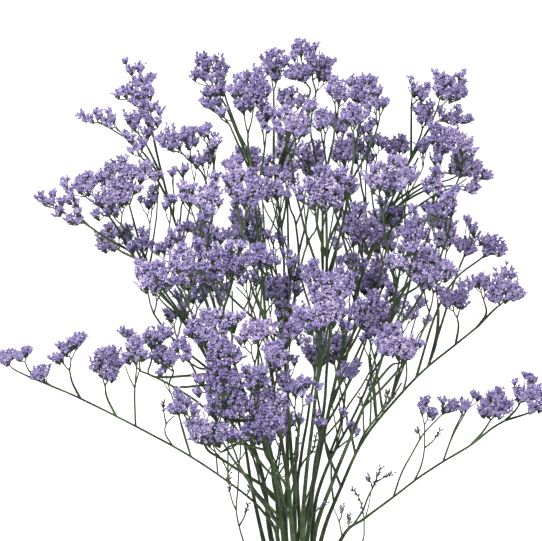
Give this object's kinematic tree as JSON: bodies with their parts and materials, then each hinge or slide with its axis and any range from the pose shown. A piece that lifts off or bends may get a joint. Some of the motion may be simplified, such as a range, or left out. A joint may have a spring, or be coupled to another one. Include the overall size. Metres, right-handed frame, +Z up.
{
  "type": "dried statice bunch",
  "caption": "Bunch of dried statice lying down: long branching green stems tied near the foot, carrying dense violet heads of small papery flowers.",
  "frame": {"origin": "centre of the bunch's box in X and Y, on the surface it lies on", "axes": "+Y along the stems towards the flower heads, +Z up from the surface, +X to the right seen from above"},
  "size_m": [0.4007, 0.6007, 0.1929],
  "materials": {
    "violet_flower": "dry papery flower cups, violet with pale rims",
    "green_stem": "dry grey-green stem, matte, faintly ribbed",
    "twine": "plain natural twine, matte"
  },
  "bodies": {
    "root": {"head_centre_1": "violet_flower", "head_centre_2": "violet_flower", "head_centre_3": "violet_flower", "head_centre_4": "violet_flower", "head_centre_5": "violet_flower", "head_centre_6": "violet_flower", "head_centre_7": "violet_flower", "head_front_centre_1": "violet_flower", "head_front_centre_2": "violet_flower", "head_front_far_1": "violet_flower", "head_front_far_2": "violet_flower", "head_front_far_3": "violet_flower", "head_front_far_4": "violet_flower", "head_front_far_5": "violet_flower", "head_front_left_1": "violet_flower", "head_front_left_2": "violet_flower", "head_front_left_3": "violet_flower", "head_front_left_4": "violet_flower", "head_front_left_5": "violet_flower", "head_front_left_6": "violet_flower", "head_front_left_7": "violet_flower", "head_front_right_1": "violet_flower", "head_front_right_2": "violet_flower", "head_front_right_3": "violet_flower", "head_front_right_4": "violet_flower", "head_left_arm_1": "violet_flower", "head_left_arm_2": "violet_flower", "head_left_outer_1": "violet_flower", "head_left_outer_2": "violet_flower", "head_left_outer_3": "violet_flower", "head_left_outer_4": "violet_flower", "head_left_tall_1": "violet_flower", "head_left_tall_2": "violet_flower", "head_left_tall_3": "violet_flower", "head_left_tall_4": "violet_flower", "head_left_tall_5": "violet_flower", "head_right_arm_1": "violet_flower", "head_right_long_1": "violet_flower", "head_right_long_2": "violet_flower", "head_right_long_3": "violet_flower", "head_right_long_4": "violet_flower", "head_right_upper_1": "violet_flower", "head_right_upper_2": "violet_flower", "head_right_upper_3": "violet_flower", "head_right_upper_4": "violet_flower", "head_right_upper_5": "violet_flower", "head_right_upper_6": "violet_flower", "head_right_upper_7": "violet_flower", "stem_centre": "green_stem", "stem_front_centre": "green_stem", "stem_front_far": "green_stem", "stem_front_left": "green_stem", "stem_front_right": "green_stem", "stem_left_arm": "green_stem", "stem_left_outer": "green_stem", "stem_left_tall": "green_stem", "stem_right_arm": "green_stem", "stem_right_long": "green_stem", "stem_right_upper": "green_stem", "tie": "twine"}
  },
  "joints": []
}
